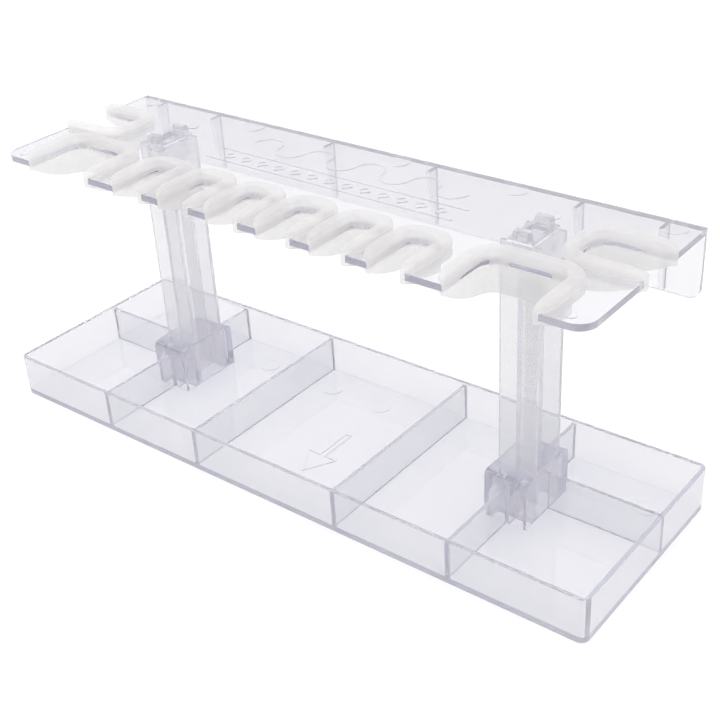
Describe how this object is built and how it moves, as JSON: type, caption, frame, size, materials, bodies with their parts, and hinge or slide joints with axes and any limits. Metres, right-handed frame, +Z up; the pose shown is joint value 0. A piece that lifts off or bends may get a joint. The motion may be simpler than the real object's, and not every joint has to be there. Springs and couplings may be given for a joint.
{
  "type": "airbrush holder stand",
  "caption": "Clear bench stand with a divided tray, two I-section posts and a slotted shelf whose edges carry soft U-shaped liners that hold airbrushes.",
  "frame": {"origin": "centre of the tray's underside, on the bench", "axes": "+X along the stand to its right end, +Y to the back flange, +Z up; the slots open to the front, -Y"},
  "size_m": [0.34, 0.108, 0.1396],
  "materials": {
    "clear_plastic": "gloss",
    "liner": "satin"
  },
  "bodies": {
    "base": {"tray": "clear_plastic"},
    "upper": {"shelf": "clear_plastic", "post_left": "clear_plastic", "post_right": "clear_plastic"},
    "liner_wide_left": {"liner_wide_left": "liner"},
    "liner_wide_right": {"liner_wide_right": "liner"},
    "liner_side_left": {"liner_side_left": "liner"},
    "liner_side_right": {"liner_side_right": "liner"},
    "liner_narrow_1": {"liner_narrow_1": "liner"},
    "liner_narrow_2": {"liner_narrow_2": "liner"},
    "liner_narrow_3": {"liner_narrow_3": "liner"},
    "liner_narrow_4": {"liner_narrow_4": "liner"},
    "liner_narrow_5": {"liner_narrow_5": "liner"},
    "liner_narrow_6": {"liner_narrow_6": "liner"}
  },
  "joints": [
    {"name": "shelf_lift", "type": "slide", "parent": "base", "child": "upper", "axis": [0, 0, 1], "range_m": [0, 0.06]},
    {"name": "wide_left_pull", "type": "slide", "parent": "upper", "child": "liner_wide_left", "axis": [0, -1, 0], "range_m": [0, 0.036]},
    {"name": "wide_right_pull", "type": "slide", "parent": "upper", "child": "liner_wide_right", "axis": [0, -1, 0], "range_m": [0, 0.036]},
    {"name": "side_left_pull", "type": "slide", "parent": "upper", "child": "liner_side_left", "axis": [-1, 0, 0], "range_m": [0, 0.038]},
    {"name": "side_right_pull", "type": "slide", "parent": "upper", "child": "liner_side_right", "axis": [1, 0, 0], "range_m": [0, 0.038]},
    {"name": "narrow_1_pull", "type": "slide", "parent": "upper", "child": "liner_narrow_1", "axis": [0, -1, 0], "range_m": [0, 0.034]},
    {"name": "narrow_2_pull", "type": "slide", "parent": "upper", "child": "liner_narrow_2", "axis": [0, -1, 0], "range_m": [0, 0.034]},
    {"name": "narrow_3_pull", "type": "slide", "parent": "upper", "child": "liner_narrow_3", "axis": [0, -1, 0], "range_m": [0, 0.034]},
    {"name": "narrow_4_pull", "type": "slide", "parent": "upper", "child": "liner_narrow_4", "axis": [0, -1, 0], "range_m": [0, 0.034]},
    {"name": "narrow_5_pull", "type": "slide", "parent": "upper", "child": "liner_narrow_5", "axis": [0, -1, 0], "range_m": [0, 0.034]},
    {"name": "narrow_6_pull", "type": "slide", "parent": "upper", "child": "liner_narrow_6", "axis": [0, -1, 0], "range_m": [0, 0.034]}
  ]
}
